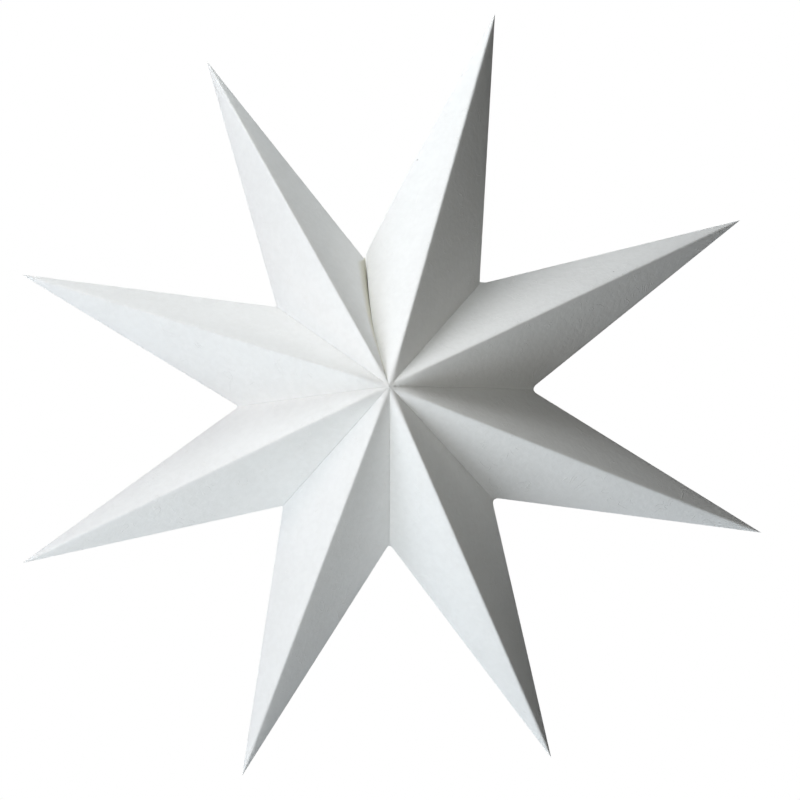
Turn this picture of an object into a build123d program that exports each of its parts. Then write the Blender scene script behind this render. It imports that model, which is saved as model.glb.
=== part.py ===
from build123d import *

import os
from math import cos, radians, sin, sqrt

# Folded paper star with eight hollow arms, in millimetres.
# The star stands in the XZ plane with +Z up, its front hub points to -Y, and
# the origin is the middle of the star, on the line from hub to hub.
# Each arm is one folded sheet. Neighbours are glued flap to flap along their
# valleys. Only the seam between the last arm and the first is taped instead.

# Driving dimensions of the opened star
star_reach = 300.0
notch_reach = 111.0
half_depth = 80.0
paper_thickness = 0.35

# Folds at the hub: a tight crease along the two ridges, a soft bend along the
# two sides, and inside each of them a flat, this far along both panels
ridge_fold_radius = 1.2
side_bend_radius = 4.0
inner_ridge_flat = 0.8
inner_side_flat = 2.2

# Inside the star: the glue flaps, and the slit between front and back flap
flap_width = 9.0
flap_slit = 1.0
flap_slit_end = 4.0

# The seam: both edges bow towards the last arm, a foam tape apart
seam_bow = 2.8
seam_gap = 0.8
tape_start = 12.0
tape_length = 26.0
tape_width = 6.0
tape_margin = 1.0
tape_clearance = 0.02

# Clockwise from the arm right of the seam: where each arm points and how far
# it reaches, as the star was opened by hand. Angles run from +X towards +Z.
arm_angles = (74.1, 26.7, -19.8, -65.4, -110.6, -155.1, -198.4, -242.0)
arm_reach_shares = (1.031, 1.011, 1.012, 0.993, 1.013, 1.001, 0.970, 0.963)

# The notch on the clockwise side of each arm, the seam's notch last
notch_angles = (50.3, 3.0, -43.6, -88.5, -132.9, -175.9, -219.5, -260.6)
notch_reach_shares = (1.014, 0.995, 1.000, 1.005, 1.021, 1.003, 0.963, 0.982)

arm_count = len(arm_angles)
seam = arm_count - 1
wall_overrun = 2 * paper_thickness
far_out = 2 * star_reach


def notch_place(notch):
    """Angle and distance of a notch. Notch -1 is the seam, met a full turn earlier."""
    index = notch % arm_count
    turns = (notch - index) // arm_count
    return notch_angles[index] - 360 * turns, notch_reach * notch_reach_shares[index]


def star_axes(angle):
    """Unit vectors of the star's plane, along an angle and a quarter turn on."""
    along = Vector(cos(radians(angle)), sin(radians(angle)))
    return along, along.rotate(Axis.Z, 90)


def upright_plane(angle):
    """Plane from hub to hub along an angle: its x runs outwards and its y to the back."""
    along, across = star_axes(angle)
    return Plane((0, 0, 0), x_dir=(along.X, 0, along.Y), z_dir=(across.X, 0, across.Y))


def side_width(arm, notch):
    """Half width at the hub of the side bend that runs from an arm's tip through a notch."""
    reach = star_reach * arm_reach_shares[arm]
    notch_angle, distance = notch_place(notch)
    turn = radians(abs(arm_angles[arm] - notch_angle))
    width = distance * sin(turn) * reach / (reach - distance * cos(turn))
    rounded_off = side_bend_radius * (sqrt(1 + (width / half_depth) ** 2) - 1)
    return width + rounded_off


def valley_cut(notch, aside):
    """Cut line from the hub to a notch, bowed at the seam, then straight out. Returns its ends."""
    angle, distance = notch_place(notch)
    along, across = star_axes(angle)
    start = across * aside
    end = start + along * distance
    if notch % arm_count == seam:
        ThreePointArc(start, start + along * distance / 2 + across * seam_bow, end)
    else:
        Line(start, end)
    outer_end = start + along * far_out
    Line(end, outer_end)
    return start, outer_end


def seam_slot():
    """Sketch of the gap between both edges of the seam, from the hub out past the tips."""
    with BuildSketch() as slot:
        with BuildLine():
            start, outer_end = valley_cut(seam, 0)
            other_start, other_outer_end = valley_cut(seam, seam_gap)
            Line(start, other_start)
            Line(outer_end, other_outer_end)
        make_face()
    return slot.sketch


def spike(arm, wall):
    """Solid spike of one arm between its two valleys, with every panel drawn in by wall."""
    reach = star_reach * arm_reach_shares[arm]
    width = side_width(arm, arm)
    other_width = side_width(arm, arm - 1)

    # All four panels meet at the tip, so the hollow is the same spike slid
    # back towards the hub, and a little aside to keep both its walls alike
    steep = 1 / reach**2 + 1 / half_depth**2
    panel_steep = sqrt(steep + 1 / width**2)
    other_panel_steep = sqrt(steep + 1 / other_width**2)
    aside = wall * (other_panel_steep - panel_steep) / (1 / width + 1 / other_width)
    back = reach * (wall * panel_steep + aside / width)

    along, across = star_axes(arm_angles[arm])
    hub_end = along * -back - across * aside
    start = Plane(
        (hub_end.X, 0, hub_end.Y), x_dir=(-across.X, 0, -across.Y), z_dir=(along.X, 0, along.Y)
    )
    with BuildSketch(start) as section:
        with BuildLine():
            Polyline(
                (0, -half_depth), (width, 0), (0, half_depth), (-other_width, 0), close=True
            )
        make_face()
        front_ridge, sides, back_ridge = section.vertices().group_by(Axis.Y)
        if wall:
            chamfer(front_ridge + back_ridge, inner_ridge_flat)
            chamfer(sides, inner_side_flat)
        else:
            fillet(front_ridge + back_ridge, ridge_fold_radius)
            fillet(sides, side_bend_radius)
    tip = hub_end + along * reach
    with BuildPart() as body:
        loft([section.sketch, Vertex(tip.X, 0, tip.Y)], ruled=True)
        with BuildSketch(Plane.XZ):
            with BuildLine():
                _, outer_end = valley_cut(arm, 0)
                _, other_outer_end = valley_cut(arm - 1, 0)
                Line(outer_end, other_outer_end)
            make_face()
            if arm == seam:
                add(seam_slot(), mode=Mode.SUBTRACT)
            if wall:
                offset(amount=-wall, kind=Kind.INTERSECTION)
        extrude(amount=half_depth, both=True, mode=Mode.INTERSECT)
    return body.part


os.makedirs("parts", exist_ok=True)

# The arms: a thin folded skin, closed at each valley by a wall that is cut
# back to two glue flaps, front and back, with a slit where the flaps meet
for arm in range(arm_count):
    skin = spike(arm, 0)
    hollow = spike(arm, paper_thickness)
    with BuildPart() as folded_arm:
        add(skin)
        add(hollow, mode=Mode.SUBTRACT)
        for notch in (arm, arm - 1):
            notch_angle, distance = notch_place(notch)
            wall_bow = seam_bow + seam_gap if notch % arm_count == seam else 0
            with BuildSketch(upright_plane(notch_angle)):
                with BuildLine():
                    Polyline(
                        (0, -half_depth), (distance, 0), (0, half_depth), (-distance, 0), close=True
                    )
                make_face()
                offset(amount=-flap_width, kind=Kind.INTERSECTION)
                Rectangle(distance - flap_slit_end, flap_slit, align=(Align.MIN, Align.CENTER))
            extrude(amount=wall_bow + wall_overrun, both=True, mode=Mode.SUBTRACT)
    folded_arm.part.label = f"arm_{arm + 1}"
    export_step(folded_arm.part, f"parts/arm_{arm + 1}.step")

# The tape: what fills the seam's gap in a strip that follows each valley
seam_angle, seam_distance = notch_place(seam)
with BuildPart() as closing_tape:
    with BuildSketch(Plane.XZ):
        add(seam_slot())
        offset(amount=-tape_clearance, kind=Kind.INTERSECTION)
    extrude(amount=half_depth, both=True)
    with BuildSketch(upright_plane(seam_angle)):
        for side in (-1, 1):
            outer_edge = [
                (place, side * (half_depth * (1 - place / seam_distance) - tape_margin))
                for place in (tape_start, tape_start + tape_length)
            ]
            inner_edge = [(place, height - side * tape_width) for place, height in outer_edge]
            with BuildLine():
                Polyline(*outer_edge, *reversed(inner_edge), close=True)
            make_face()
    extrude(amount=seam_bow + 2 * seam_gap, both=True, mode=Mode.INTERSECT)
closing_tape.part.label = "closing_tape"
export_step(closing_tape.part, "parts/closing_tape.step")
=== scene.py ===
from math import atan2, cos, pi, radians, sin, sqrt, tan

import bmesh
import bpy
import numpy as np
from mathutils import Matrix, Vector


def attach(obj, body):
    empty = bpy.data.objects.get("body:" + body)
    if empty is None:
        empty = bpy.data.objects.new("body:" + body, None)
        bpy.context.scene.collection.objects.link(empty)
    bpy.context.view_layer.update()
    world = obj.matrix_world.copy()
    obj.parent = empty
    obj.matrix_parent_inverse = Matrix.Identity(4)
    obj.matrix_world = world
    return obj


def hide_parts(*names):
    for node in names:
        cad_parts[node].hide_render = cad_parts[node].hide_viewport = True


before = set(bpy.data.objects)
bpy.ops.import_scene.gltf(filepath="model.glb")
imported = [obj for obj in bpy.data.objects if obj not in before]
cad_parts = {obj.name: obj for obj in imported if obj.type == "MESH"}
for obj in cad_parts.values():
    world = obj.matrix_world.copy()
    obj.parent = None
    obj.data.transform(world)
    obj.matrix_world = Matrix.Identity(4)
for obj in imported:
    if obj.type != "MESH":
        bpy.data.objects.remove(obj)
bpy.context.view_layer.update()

# The arms: eight hollow spikes, each folded from one sheet of white handmade
# paper. A tight crease runs along the front and the back ridge, a soft bend
# along both sides, and glue flaps turn inwards along the valleys.
star_reach = 0.300
notch_reach = 0.111
half_depth = 0.080
sheet_thickness = 0.00035
arm_angles = (74.1, 26.7, -19.8, -65.4, -110.6, -155.1, -198.4, -242.0)
arm_reach_shares = (1.031, 1.019, 1.012, 0.996, 1.013, 1.001, 0.970, 0.975)
notch_angles = (50.3, 3.0, -43.6, -88.5, -132.9, -175.9, -219.5, -260.6)
notch_reach_shares = (1.014, 0.995, 1.000, 1.005, 1.021, 1.003, 0.963, 0.982)
arm_count = len(arm_angles)
seam = arm_count - 1

ridge_softness = 0.0014
hub_softness = 0.0036
hub_softness_reach = 0.018
side_softness = 0.0012
softness_fade_share = 0.06
panel_bow = 0.0006
flap_width = 0.009
flap_clearance_share = 0.9
crease_gap = 0.00005
crease_depth = 0.0006
lip_return_share = 0.8
full_thickness_width = 0.0015
thinnest_wall_share = 0.02
wall_levels = 20
fold_wear_width = 0.0016

# Each notch's rounding: how deep it fills the corner, and how wide it runs for
# the arm before and the arm after, as a share of an even rounding. Behind the
# side it reaches back by a number of these depths.
notch_rounding = (
    (0.0020, 0.45, 1.50),
    (0.0026, 1.00, 1.00),
    (0.0026, 1.00, 1.00),
    (0.0018, 1.00, 1.00),
    (0.0010, 1.00, 1.00),
    (0.0012, 1.00, 1.00),
    (0.0008, 1.00, 1.00),
    (0.0030, 0.55, 0.00),
)
rounding_reach_depths = 5

# A frayed nick in the first arm's side fold, and a dark speck in the second
# arm's pulp
side_nick = (0.0244, -0.0030, 0.1820)
side_nick_radius = 0.0012
pulp_speck = (0.1719, -0.0220, 0.0936)
pulp_speck_radius = 0.0008
spot_core_share = 0.4

# The seam: the first arm's free edge bows over the last arm, whose sheet rolls
# inwards under it. From and full_at are shares of the valley, seen from the hub.
seam_bow = 0.0032
seam_bow_power = 0.7
seam_pull = 0.0031
seam_pull_limit = 1.2
seam_gap = 0.0003
seam_gap_from = 0.25
seam_gap_full_at = 0.50
roll_width = 0.0095
roll_width_power = 1.2
narrowest_roll_at = 0.02
roll_depth = 0.0058
roll_depth_power = 1.5
deepest_roll_share = 0.5
roll_from = 0.15
roll_full_at = 0.55
# Painted shade: how fast the yellow-olive painted shade on the last arm's rolled band fades out past the
# notch's corner
seam_shade_fade = 0.0025
corner_curl = 0.0021
corner_curl_length = 0.110
curl_limit = 1.1
curl_from_across = 0.55

# The grids: their rows and columns, and where they start at the hub
hub_start = 0.0003
hub_rows = 50
tip_rows = 76
across_columns = 30
even_spacing_share = 0.15
corner_search_shares = (0.7, 1.3)
corner_search_steps = 4001
weld_distance = 1.5e-7
tiny = 1e-9


def notch_place(notch):
    """Angle in radians and distance of a notch. Notch -1 is the seam, a full turn earlier."""
    index = notch % arm_count
    turns = (notch - index) // arm_count
    return radians(notch_angles[index] - 360 * turns), notch_reach * notch_reach_shares[index]


def ease_rows(count):
    """Numbers from 0 to 1, close together at both ends: a half cosine with some even spacing."""
    even = np.linspace(0, 1, count)
    return even_spacing_share * even + (1 - even_spacing_share) * (1 - np.cos(pi * even)) / 2


def fade_to_tip(share):
    """1 along the arm and 0 at its tip: share / (share + fade), scaled to reach 1 at the hub."""
    return share / (share + softness_fade_share) * (1 + softness_fade_share)


def seam_offset(q, seam_side):
    """What the seam adds to an arm's half width, square to the valley, at q of the valley's length.

    Both edges shift from the straight valley towards the last arm, which widens the first arm and
    narrows the last. The shift is a bow, the sine of pi times a power of q, less a pull back of q
    cubed towards the notch. The last arm's edge lies a gap further on, which opens over the second
    quarter of the seam.
    """
    shift = seam_bow * np.sin(pi * np.clip(q, 0, 1) ** seam_bow_power)
    shift = shift - seam_pull * np.clip(q, 0, seam_pull_limit) ** 3
    opened = np.clip((q - seam_gap_from) / (seam_gap_full_at - seam_gap_from), 0, 1)
    return shift if seam_side == "first" else -(shift + seam_gap * opened)


class ArmHalf:
    """One side of an arm, from its ridge to one notch, in the arm's own axes.

    x runs from the hub to the tip, y from the ridge to the side, z from the star's middle plane to
    the front. The back is the same with z reversed.
    """

    def __init__(self, arm, notch):
        self.reach = star_reach * arm_reach_shares[arm]
        angle, self.distance = notch_place(notch)
        self.turn = abs(radians(arm_angles[arm]) - angle)
        self.out = np.array([cos(self.turn), sin(self.turn)])
        self.inward = np.array([sin(self.turn), -cos(self.turn)])
        self.notch_x, self.notch_y = self.distance * self.out
        self.opening = self.turn + atan2(self.notch_y, self.reach - self.notch_x)
        depth, before, after = notch_rounding[notch % arm_count]
        width_share = before if notch == arm else after
        self.rounding = depth if width_share else 0
        self.rounding_width = 2 * depth * tan(self.opening) * width_share
        self.seam_side = None
        if notch % arm_count == seam:
            self.seam_side = "last" if arm == seam else "first"

    def side_line(self, x):
        """Half width, and how far the seam curls it in.

        The half width is a straight line from the tip through the notch. The curl is the cube of
        what is left of its length, and only the first arm has it.
        """
        straight = (self.reach - x) * self.notch_y / (self.reach - self.notch_x)
        curl = np.zeros_like(straight)
        if self.seam_side == "first":
            remaining = np.clip(1 - (x - self.notch_x) / corner_curl_length, 0, curl_limit)
            curl = corner_curl * remaining**3
        return straight, curl

    def valley_line(self, x):
        """Half width at the valley: straight out at the notch's angle, and bowed at the seam."""
        y = x * tan(self.turn)
        if self.seam_side:
            y = y + seam_offset(x / self.notch_x, self.seam_side) / cos(self.turn)
        return y

    def corner_x(self):
        """Where along the arm the valley ends: the place where its line crosses the side."""
        nearest, furthest = corner_search_shares
        x = np.linspace(nearest * self.notch_x, furthest * self.notch_x, corner_search_steps)
        straight, curl = self.side_line(x)
        return float(x[np.argmin(np.abs(self.valley_line(x) - straight + curl))])

    def height(self, x, y):
        """Height of the front panel over the middle plane.

        The sharp panel falls in a straight line from the ridge to the side. A square root with the
        ridge's softness rounds its top off, and one with the side's softness turns it upright at the
        side. A low bow, four times the product of both shares across, lies over the middle. The
        whole is scaled by a share close to 1, which brings the ridge to the same height for both
        halves of the arm. On the last arm a power of in_roll pulls the edge down at the seam.
        """
        share = 1 - x / self.reach
        straight, curl = self.side_line(x)
        fade = fade_to_tip(share)
        soft = side_softness * fade
        across = np.clip(y / np.maximum(straight - curl, tiny), 0, 1)
        near_rim = np.clip((across - curl_from_across) / (1 - curl_from_across), 0, 1)
        pulled = y + curl * near_rim * near_rim * (3 - 2 * near_rim)
        slope = half_depth * share / np.maximum(straight + soft, tiny)
        ridge = ridge_softness * fade + hub_softness * np.exp(-((x / hub_softness_reach) ** 2))
        rise = np.sqrt((straight * slope) ** 2 + ridge**2)
        top = slope * soft + rise - np.sqrt((pulled * slope) ** 2 + ridge**2)
        top = top + panel_bow * fade * 4 * across * (1 - across)
        own_peak = np.sqrt((slope * soft + rise - ridge) ** 2 - (slope * soft) ** 2)
        peak = np.sqrt((half_depth * share) ** 2 + ridge**2) - ridge
        rounded = np.sqrt(np.maximum(top**2 - (slope * soft) ** 2, 0))
        rounded = rounded * peak / np.maximum(own_peak, tiny)
        if self.seam_side == "last":
            deepest = np.minimum(roll_depth, deepest_roll_share * rounded)
            rounded = rounded - deepest * self.in_roll(x, y) ** roll_depth_power
        return rounded

    def in_roll(self, x, y):
        """How far into the last arm's rolled edge a point lies: 0 where the roll starts, 1 at its rim.

        The roll's width grows with a power of the distance from the hub. Near the hub the roll has
        faded out.
        """
        q = x / self.notch_x
        width = roll_width * np.clip(q, narrowest_roll_at, 1) ** roll_width_power
        rolled = np.clip((q - roll_from) / (roll_full_at - roll_from), 0, 1)
        return np.clip(1 - (self.valley_line(x) - y) / width, 0, 1) * rolled

    def round_notch(self, x, y, corner):
        """Push the corner of the notch outwards along the valley.

        The push is the rounding times the square of what is left of its width, beside the valley,
        and times the cube of what is left of its reach, behind the side.
        """
        if not self.rounding:
            return x, y
        beside = (x - corner[0]) * self.inward[0] + (y - corner[1]) * self.inward[1]
        ahead = (x - corner[0]) * self.out[0] + (y - corner[1]) * self.out[1]
        behind = beside / tan(self.opening) - ahead
        reach = rounding_reach_depths * self.rounding
        push = self.rounding * np.clip(1 - np.maximum(beside, 0) / self.rounding_width, 0, 1) ** 2
        push = push * np.clip(1 - np.maximum(behind, 0) / reach, 0, 1) ** 3
        return x + push * self.out[0], y + push * self.out[1]

    def sheet(self, ridge_corner_x):
        """Grid of points from ridge to rim, then over the crease and down the glue flap.

        Rows run from the hub through the notch's corner to the tip and lie close together at all
        three, columns are spaced by a half cosine so that they are close at the ridge and the side.
        """
        corner_x = self.corner_x()
        corner = (corner_x, float(self.valley_line(corner_x)))
        hub_part = ease_rows(hub_rows)
        tip_part = ease_rows(tip_rows)[1:]

        def spread(corner_at):
            inner = hub_start + (corner_at - hub_start) * hub_part
            return np.concatenate([inner, corner_at + (self.reach - corner_at) * tip_part])

        rim_x, ridge_x = spread(corner_x), spread(ridge_corner_x)
        straight, curl = self.side_line(rim_x)
        in_valley = np.arange(len(rim_x)) < hub_rows
        rim_y = np.where(in_valley, self.valley_line(rim_x), straight - curl)
        t = (1 - np.cos(np.linspace(0, pi, across_columns))) / 2
        x = ridge_x[:, None] * (1 - t) + rim_x[:, None] * t
        y = rim_y[:, None] * t
        z = self.height(x, y)
        z[~in_valley, -1] = 0
        # painted shade: the last arm's rolled band is tinted yellow-olive where it turns inwards into
        # shade, fading out past the notch's corner
        seam_shade_share = self.in_roll(x, y) * np.clip(1 - (x - corner_x) / seam_shade_fade, 0, 1)
        x, y = self.round_notch(x, y, corner)

        # the crease and the flap, which close up to nothing at the notch and at the hub
        slant = sqrt(half_depth**2 + self.distance**2)
        rim = np.stack([x[:, -1], y[:, -1], z[:, -1]], axis=1)
        from_hub = rim[:, 0] * self.out[0] + rim[:, 1] * self.out[1]
        down = np.minimum(from_hub * slant / half_depth, rim[:, 2] * slant / self.distance)
        down = np.where(in_valley, np.clip(down * flap_clearance_share, 0, None), 0)
        inwards = np.array([*(-half_depth * self.out), -self.distance]) / slant
        lip = np.minimum(crease_gap, down)
        rim[:, :2] += lip[:, None] * self.inward
        below = rim + np.minimum(crease_depth, down)[:, None] * inwards
        below[:, :2] -= lip_return_share * lip[:, None] * self.inward
        end = rim + np.minimum(flap_width, down)[:, None] * inwards
        end[:, :2] -= lip_return_share * lip[:, None] * self.inward
        points = np.stack([x, y, z], axis=2)
        points[:, -1] = rim
        points = np.concatenate([points, below[:, None], end[:, None]], axis=1)
        flap = np.full((len(x), 2), y.max())
        from_ridge = np.concatenate([y, flap], axis=1)
        half_widths = np.repeat(rim_y[:, None], points.shape[1], axis=1)
        marks = {
            "wall_share": np.clip(half_widths / full_thickness_width, thinnest_wall_share, 1),
            "fold_wear": np.exp(-((from_ridge / fold_wear_width) ** 2)),
            "painted_seam_shade": np.zeros_like(from_ridge),
        }
        # the yellow-olive painted shade lies over the last arm's rolled band and its flaps
        if self.seam_side == "last":
            marks["painted_seam_shade"] = np.concatenate([seam_shade_share, 0 * flap + in_valley[:, None]], axis=1)
        return points, marks


def place(points, angle, side):
    """Arm axes to the star's: x along the arm's angle, y to its left or right, z towards -Y."""
    along = np.array([cos(angle), 0.0, sin(angle)])
    across = np.array([-sin(angle), 0.0, cos(angle)]) * side
    front = np.array([0.0, -1.0, 0.0])
    return points[..., :1] * along + points[..., 1:2] * across + points[..., 2:] * front


def grid_faces(first, rows, columns):
    """Quads of a grid whose points start at first, row by row."""
    corner = (first + np.arange(rows - 1)[:, None] * columns + np.arange(columns - 1)).ravel()
    return np.stack([corner, corner + 1, corner + columns + 1, corner + columns], axis=1)


def folded_arm(arm):
    """Mesh of one arm: two halves in front and two behind, joined at the ridges and the sides."""
    left, right = ArmHalf(arm, arm - 1), ArmHalf(arm, arm)
    ridge_corner = (left.corner_x() + right.corner_x()) / 2
    angle = radians(arm_angles[arm])
    points, faces, marks, count = [], [], [], 0
    for half, side in ((left, 1), (right, -1)):
        sheet, sheet_marks = half.sheet(ridge_corner)
        rows, columns = sheet.shape[:2]
        for back in (1, -1):
            quads = grid_faces(count, rows, columns)
            points.append(place(sheet * (1, 1, back), angle, side).reshape(-1, 3))
            faces.append(quads if side * back < 0 else quads[:, ::-1])
            marks.append(sheet_marks)
            count += rows * columns
    mesh = bpy.data.meshes.new(f"folded_arm_{arm + 1}")
    mesh.from_pydata(np.concatenate(points).tolist(), [], np.concatenate(faces).tolist())
    for name in marks[0]:
        mark = mesh.attributes.new(name, "FLOAT", "POINT")
        mark.data.foreach_set("value", np.concatenate([share[name].ravel() for share in marks]))
    shape = bmesh.new()
    shape.from_mesh(mesh)
    bmesh.ops.remove_doubles(shape, verts=shape.verts, dist=weld_distance)
    shape.to_mesh(mesh)
    shape.free()
    mesh.shade_smooth()
    return mesh


def add_node(tree, kind, inputs=None, **settings):
    """Add a shader node with its settings, and set or link its inputs by name or number."""
    node = tree.nodes.new(kind)
    for name, value in settings.items():
        setattr(node, name, value)
    for name, value in (inputs or {}).items():
        if isinstance(value, bpy.types.NodeSocket):
            tree.links.new(value, node.inputs[name])
        else:
            node.inputs[name].default_value = value
    return node


def math_node(tree, operation, *values):
    """A Math node over values or sockets."""
    return add_node(tree, "ShaderNodeMath", dict(enumerate(values)), operation=operation).outputs[0]


def smooth_step(tree, value, low, high, to_low=0.0, to_high=1.0):
    """A smooth Map Range from low..high to to_low..to_high."""
    inputs = {0: value, 1: low, 2: high, 3: to_low, 4: to_high}
    return add_node(tree, "ShaderNodeMapRange", inputs, interpolation_type="SMOOTHSTEP").outputs[0]


def make_fibre_group():
    """Fibres pressed into a sheet: fine mottling, clouds of thicker pulp, and a few loose hairs.

    Hairs are the thin lines where a noise crosses its middle value, kept only in small patches.
    """
    group = bpy.data.node_groups.new("pressed fibres", "ShaderNodeTree")
    sockets = (
        ("Place", "INPUT", "NodeSocketVector"),
        ("Fibres per Metre", "INPUT", "NodeSocketFloat"),
        ("Hairs", "INPUT", "NodeSocketFloat"),
        ("Tone", "OUTPUT", "NodeSocketFloat"),
        ("Hair", "OUTPUT", "NodeSocketFloat"),
        ("Relief", "OUTPUT", "NodeSocketFloat"),
    )
    for name, way, kind in sockets:
        group.interface.new_socket(name=name, in_out=way, socket_type=kind)
    given = group.nodes.new("NodeGroupInput")
    place_on_sheet, density = given.outputs["Place"], given.outputs["Fibres per Metre"]

    def noise(share, detail, roughness, distortion, vector=place_on_sheet):
        inputs = {
            "Vector": vector,
            "Scale": math_node(group, "MULTIPLY", density, share),
            "Detail": detail,
            "Roughness": roughness,
            "Distortion": distortion,
        }
        return add_node(group, "ShaderNodeTexNoise", inputs).outputs[0]

    mottle = noise(share=0.7, detail=2.0, roughness=0.5, distortion=0.3)
    cloud = noise(share=0.1, detail=2.0, roughness=0.5, distortion=0.4)
    tone = math_node(group, "MULTIPLY", mottle, 0.6)
    tone = math_node(group, "ADD", tone, math_node(group, "MULTIPLY", cloud, 0.4))
    tone = math_node(group, "SUBTRACT", tone, 0.5)

    shift = {0: place_on_sheet, 1: (0.31, 0.17, 0.23)}
    moved = add_node(group, "ShaderNodeVectorMath", shift, operation="ADD").outputs[0]
    crossing = noise(share=0.13, detail=1.0, roughness=0.4, distortion=2.2, vector=moved)
    crossing = math_node(group, "ABSOLUTE", math_node(group, "SUBTRACT", crossing, 0.5))
    line = smooth_step(group, crossing, 0.004, 0.013, 1.0, 0.0)
    patch = noise(share=0.22, detail=0.0, roughness=0.5, distortion=0.0, vector=moved)
    patch = smooth_step(group, patch, 0.60, 0.68)
    hair = math_node(group, "MULTIPLY", math_node(group, "MULTIPLY", line, patch), given.outputs["Hairs"])
    relief = math_node(group, "ADD", mottle, math_node(group, "MULTIPLY", hair, 0.5))
    add_node(group, "NodeGroupOutput", {"Tone": tone, "Hair": hair, "Relief": relief})
    return group


def spot(tree, place_on_sheet, centre, radius):
    """1 inside a small round spot and 0 outside, around a point of the sheet."""
    reach = add_node(tree, "ShaderNodeVectorMath", {0: place_on_sheet, 1: centre}, operation="DISTANCE")
    return smooth_step(tree, reach.outputs["Value"], spot_core_share * radius, radius, 1.0, 0.0)


def mix_colour(tree, factor, first, second):
    """A Mix node over two colours."""
    inputs = {0: factor, 6: first, 7: second}
    return add_node(tree, "ShaderNodeMix", inputs, data_type="RGBA").outputs[2]


def lay_over(tree, below, mask, strength, colour):
    """A colour over the one below it, where the mask is 1, at the given strength."""
    return mix_colour(tree, math_node(tree, "MULTIPLY", mask, strength), below, colour)


pulp_grey = (0.908, 0.909, 0.906, 1)
pulp_white = (0.938, 0.940, 0.938, 1)
hair_white = (0.975, 0.974, 0.970, 1)
worn_white = (0.960, 0.960, 0.957, 1)
# a yellow-olive painted shade for the last arm's rolled band and flaps at the seam
seam_shade_olive = (0.74, 0.72, 0.60, 1)
speck_brown = (0.30, 0.29, 0.27, 1)
paper_relief = 0.00032

fibre_group = make_fibre_group()
paper = bpy.data.materials.new("handmade paper")
paper.use_nodes = True
tree = paper.node_tree
shader = tree.nodes["Principled BSDF"]
on_paper = tree.nodes.new("ShaderNodeTexCoord").outputs["Object"]
paper_fibres = {"Place": on_paper, "Fibres per Metre": 320, "Hairs": 1.0}
fibres = add_node(tree, "ShaderNodeGroup", paper_fibres, node_tree=fibre_group)
tone = smooth_step(tree, fibres.outputs["Tone"], -0.16, 0.16)
colour = mix_colour(tree, tone, pulp_grey, pulp_white)
colour = lay_over(tree, colour, fibres.outputs["Hair"], 0.6, hair_white)
on_fold = add_node(tree, "ShaderNodeAttribute", attribute_name="fold_wear").outputs["Fac"]
thick_pulp = smooth_step(tree, fibres.outputs["Tone"], -0.05, 0.10)
colour = lay_over(tree, colour, math_node(tree, "MULTIPLY", on_fold, thick_pulp), 0.5, worn_white)
# painted shade: yellow-olive over the last arm's rolled band and flaps, where the seam turns into shade
in_seam_shade = add_node(tree, "ShaderNodeAttribute", attribute_name="painted_seam_shade").outputs["Fac"]
colour = lay_over(tree, colour, smooth_step(tree, in_seam_shade, 0.0, 0.7), 0.8, seam_shade_olive)
nick = spot(tree, on_paper, side_nick, side_nick_radius)
speck = spot(tree, on_paper, pulp_speck, pulp_speck_radius)
colour = lay_over(tree, colour, math_node(tree, "MAXIMUM", nick, speck), 0.45, speck_brown)
tree.links.new(colour, shader.inputs["Base Color"])
roughness = smooth_step(tree, fibres.outputs["Tone"], -0.2, 0.2, 0.84, 0.96)
tree.links.new(roughness, shader.inputs["Roughness"])
shader.inputs["Specular IOR Level"].default_value = 0.25
bump = {"Height": fibres.outputs["Relief"], "Distance": paper_relief, "Strength": 1.0}
tree.links.new(add_node(tree, "ShaderNodeBump", bump).outputs[0], shader.inputs["Normal"])

for arm in range(arm_count):
    mesh = folded_arm(arm)
    wall_share = np.empty(len(mesh.vertices))
    mesh.attributes["wall_share"].data.foreach_get("value", wall_share)
    piece = bpy.data.objects.new(f"folded_arm_{arm + 1}", mesh)
    bpy.context.scene.collection.objects.link(piece)
    wall_group = piece.vertex_groups.new(name="wall")
    for level in range(1, wall_levels + 1):
        at_level = np.flatnonzero(np.ceil(wall_share * wall_levels) == level)
        wall_group.add(at_level.tolist(), level / wall_levels, "REPLACE")
    wall = piece.modifiers.new("wall", "SOLIDIFY")
    wall.thickness = sheet_thickness
    wall.offset = -1
    wall.vertex_group = "wall"
    wall.use_quality_normals = True
    mesh.materials.append(paper)
    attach(piece, "root")
    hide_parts(f"arm_{arm + 1}")

# The closing tape: two strips of thin white foam tape, sticky on both sides,
# which hold the last arm's flap to the first arm's inside the seam.
foam_dark = (0.76, 0.74, 0.68, 1)
foam_pale = (0.84, 0.82, 0.77, 1)
foam_relief = 0.00004
tape = bpy.data.materials.new("foam tape")
tape.use_nodes = True
tree = tape.node_tree
shader = tree.nodes["Principled BSDF"]
on_tape = tree.nodes.new("ShaderNodeTexCoord").outputs["Object"]
foam_cells = {"Place": on_tape, "Fibres per Metre": 2400, "Hairs": 0.0}
foam = add_node(tree, "ShaderNodeGroup", foam_cells, node_tree=fibre_group)
tone = smooth_step(tree, foam.outputs["Tone"], -0.15, 0.15)
tree.links.new(mix_colour(tree, tone, foam_dark, foam_pale), shader.inputs["Base Color"])
roughness = smooth_step(tree, foam.outputs["Tone"], -0.2, 0.2, 0.45, 0.65)
tree.links.new(roughness, shader.inputs["Roughness"])
bump = {"Height": foam.outputs["Relief"], "Distance": foam_relief, "Strength": 1.0}
tree.links.new(add_node(tree, "ShaderNodeBump", bump).outputs[0], shader.inputs["Normal"])
tape_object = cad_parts["closing_tape"]
if not tape_object.material_slots:
    tape_object.data.materials.append(tape)
for tape_slot in tape_object.material_slots:
    tape_slot.material = tape

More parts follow.
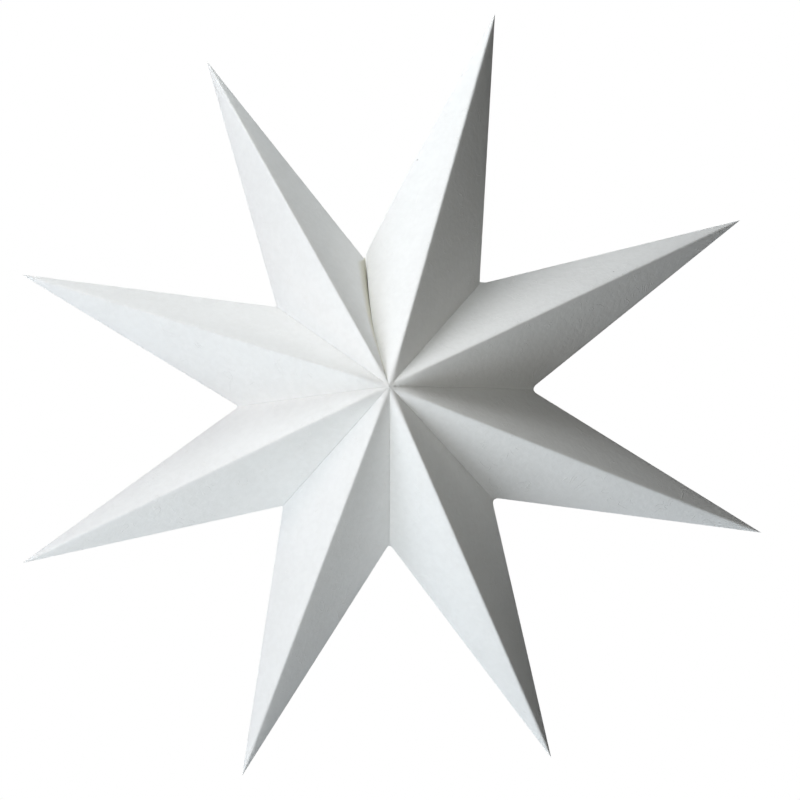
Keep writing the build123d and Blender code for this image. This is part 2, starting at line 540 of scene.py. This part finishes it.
# The camera: a little to the left of the star and below it, as the photograph
# was taken, with the star set left of the frame's middle.
camera_distance = 6 * star_reach
camera_azimuth, camera_elevation = radians(-2.24), radians(-5.63)
camera = bpy.data.objects.new("camera", bpy.data.cameras.new("camera"))
bpy.context.scene.collection.objects.link(camera)
camera.location = (
    camera_distance * sin(camera_azimuth) * cos(camera_elevation),
    -camera_distance * cos(camera_azimuth) * cos(camera_elevation),
    camera_distance * sin(camera_elevation),
)
camera.rotation_euler = (pi / 2 - camera_elevation, 0, camera_azimuth)
camera.data.lens = 106.65
camera.data.sensor_width = 36
camera.data.shift_x = 0.018125
camera.data.shift_y = -0.004375
bpy.context.scene.camera = camera
bpy.context.scene.view_settings.view_transform = "Standard"

# The floor: a round pale sheet far below the hanging star, which fades out at
# its rim into the white of the room.
floor_height = -1.35
floor_radius = 3.2
floor_fade_from = 1.3
floor_gone_at = 3.1
floor_white_share = 0.70
floor_rings = 24
floor_sides = 96


def where_seen(tree):
    """1 for rays from the camera, from a reflection or through something clear, and 0 for the rest."""
    sight = tree.nodes.new("ShaderNodeLightPath")
    seen = math_node(tree, "MAXIMUM", sight.outputs["Is Camera Ray"], sight.outputs["Is Glossy Ray"])
    return math_node(tree, "MAXIMUM", seen, sight.outputs["Is Transmission Ray"])


ring = np.linspace(0, floor_radius, floor_rings + 1)[1:]
turn = np.linspace(0, 2 * pi, floor_sides, endpoint=False)
ring_heights = np.full((floor_rings, floor_sides), floor_height)
ring_points = [np.outer(ring, np.cos(turn)), np.outer(ring, np.sin(turn)), ring_heights]
ring_points = np.stack(ring_points, axis=2).reshape(-1, 3)
floor_points = np.concatenate([[[0, 0, floor_height]], ring_points])
here = np.arange(floor_sides)
beside = (here + 1) % floor_sides
middle_faces = np.stack([0 * here, here + 1, beside + 1], axis=1)
ring_start = 1 + np.arange(floor_rings - 1)[:, None] * floor_sides
inner = (ring_start + here).ravel()
inner_beside = (ring_start + beside).ravel()
ring_faces = [inner, inner + floor_sides, inner_beside + floor_sides, inner_beside]
ring_faces = np.stack(ring_faces, axis=1)
floor_mesh = bpy.data.meshes.new("floor")
floor_mesh.from_pydata(floor_points.tolist(), [], middle_faces.tolist() + ring_faces.tolist())
floor_mesh.shade_smooth()
floor = bpy.data.objects.new("floor", floor_mesh)
bpy.context.scene.collection.objects.link(floor)
pale_floor = bpy.data.materials.new("pale floor")
pale_floor.use_nodes = True
tree = pale_floor.node_tree
shader = tree.nodes["Principled BSDF"]
shader.inputs["Base Color"].default_value = (0.86, 0.86, 0.86, 1)
shader.inputs["Roughness"].default_value = 0.9
white = add_node(tree, "ShaderNodeEmission", {"Color": (1, 1, 1, 1), "Strength": 1.0})
whitened = math_node(tree, "MULTIPLY", where_seen(tree), floor_white_share)
lit = add_node(tree, "ShaderNodeMixShader", {0: whitened, 1: shader.outputs[0], 2: white.outputs[0]})
on_floor = {0: tree.nodes.new("ShaderNodeTexCoord").outputs["Object"]}
from_middle = add_node(tree, "ShaderNodeVectorMath", on_floor, operation="LENGTH")
fading = smooth_step(tree, from_middle.outputs["Value"], floor_fade_from, floor_gone_at)
clear = tree.nodes.new("ShaderNodeBsdfTransparent")
faded = add_node(tree, "ShaderNodeMixShader", {0: fading, 1: lit.outputs[0], 2: clear.outputs[0]})
tree.links.new(faded.outputs[0], tree.nodes["Material Output"].inputs["Surface"])
floor_mesh.materials.append(pale_floor)

# The light: soft panels above the star, to its left and below it, and a small
# faint one in front. The right side gets only what these send past. Two more
# behind the star light its back. Each has its place, its size and its watts in
# red, green and blue.
soft_lamps = (
    ("behind left", (-0.50, 1.70, 0.45), 0.80, (13.0, 13.0, 13.0)),
    ("behind right", (0.60, 1.70, 0.10), 0.80, (9.0, 9.0, 9.0)),
    ("above", (-0.19, -0.15, 0.70), 0.45, (2.42, 2.55, 2.58)),
    ("upper left", (-1.00, -0.60, 0.50), 0.60, (5.10, 4.72, 4.54)),
    ("left", (-1.10, -0.69, 0.00), 0.69, (1.15, 1.86, 2.50)),
    ("low left", (-0.62, -0.45, -0.36), 0.45, (1.77, 1.65, 1.57)),
    ("lower left", (-0.55, -0.25, -0.95), 0.80, (1.99, 2.39, 2.56)),
    ("below", (0.00, -0.25, -1.10), 0.80, (1.77, 1.91, 2.02)),
    ("front", (0.00, -0.50, 0.00), 0.30, (0.55, 0.55, 0.51)),
)
for name, position, size, watts in soft_lamps:
    lamp = bpy.data.objects.new(f"lamp {name}", bpy.data.lights.new(f"lamp {name}", "AREA"))
    lamp.data.shape = "SQUARE"
    lamp.data.size = size
    lamp.data.energy = max(watts)
    lamp.data.color = [share / max(watts) for share in watts]
    lamp.location = position
    lamp.rotation_euler = Vector(position).to_track_quat("Z", "Y").to_euler()
    lamp.visible_camera = False
    bpy.context.scene.collection.objects.link(lamp)

# The room: plain white where the camera or a reflection sees it, and no light
# of its own.
room = bpy.data.worlds.new("room")
bpy.context.scene.world = room
room.use_nodes = True
tree = room.node_tree
tree.nodes.clear()
backdrop = {"Color": (1, 1, 1, 1), "Strength": where_seen(tree)}
backdrop = add_node(tree, "ShaderNodeBackground", backdrop).outputs[0]
add_node(tree, "ShaderNodeOutputWorld", {"Surface": backdrop})
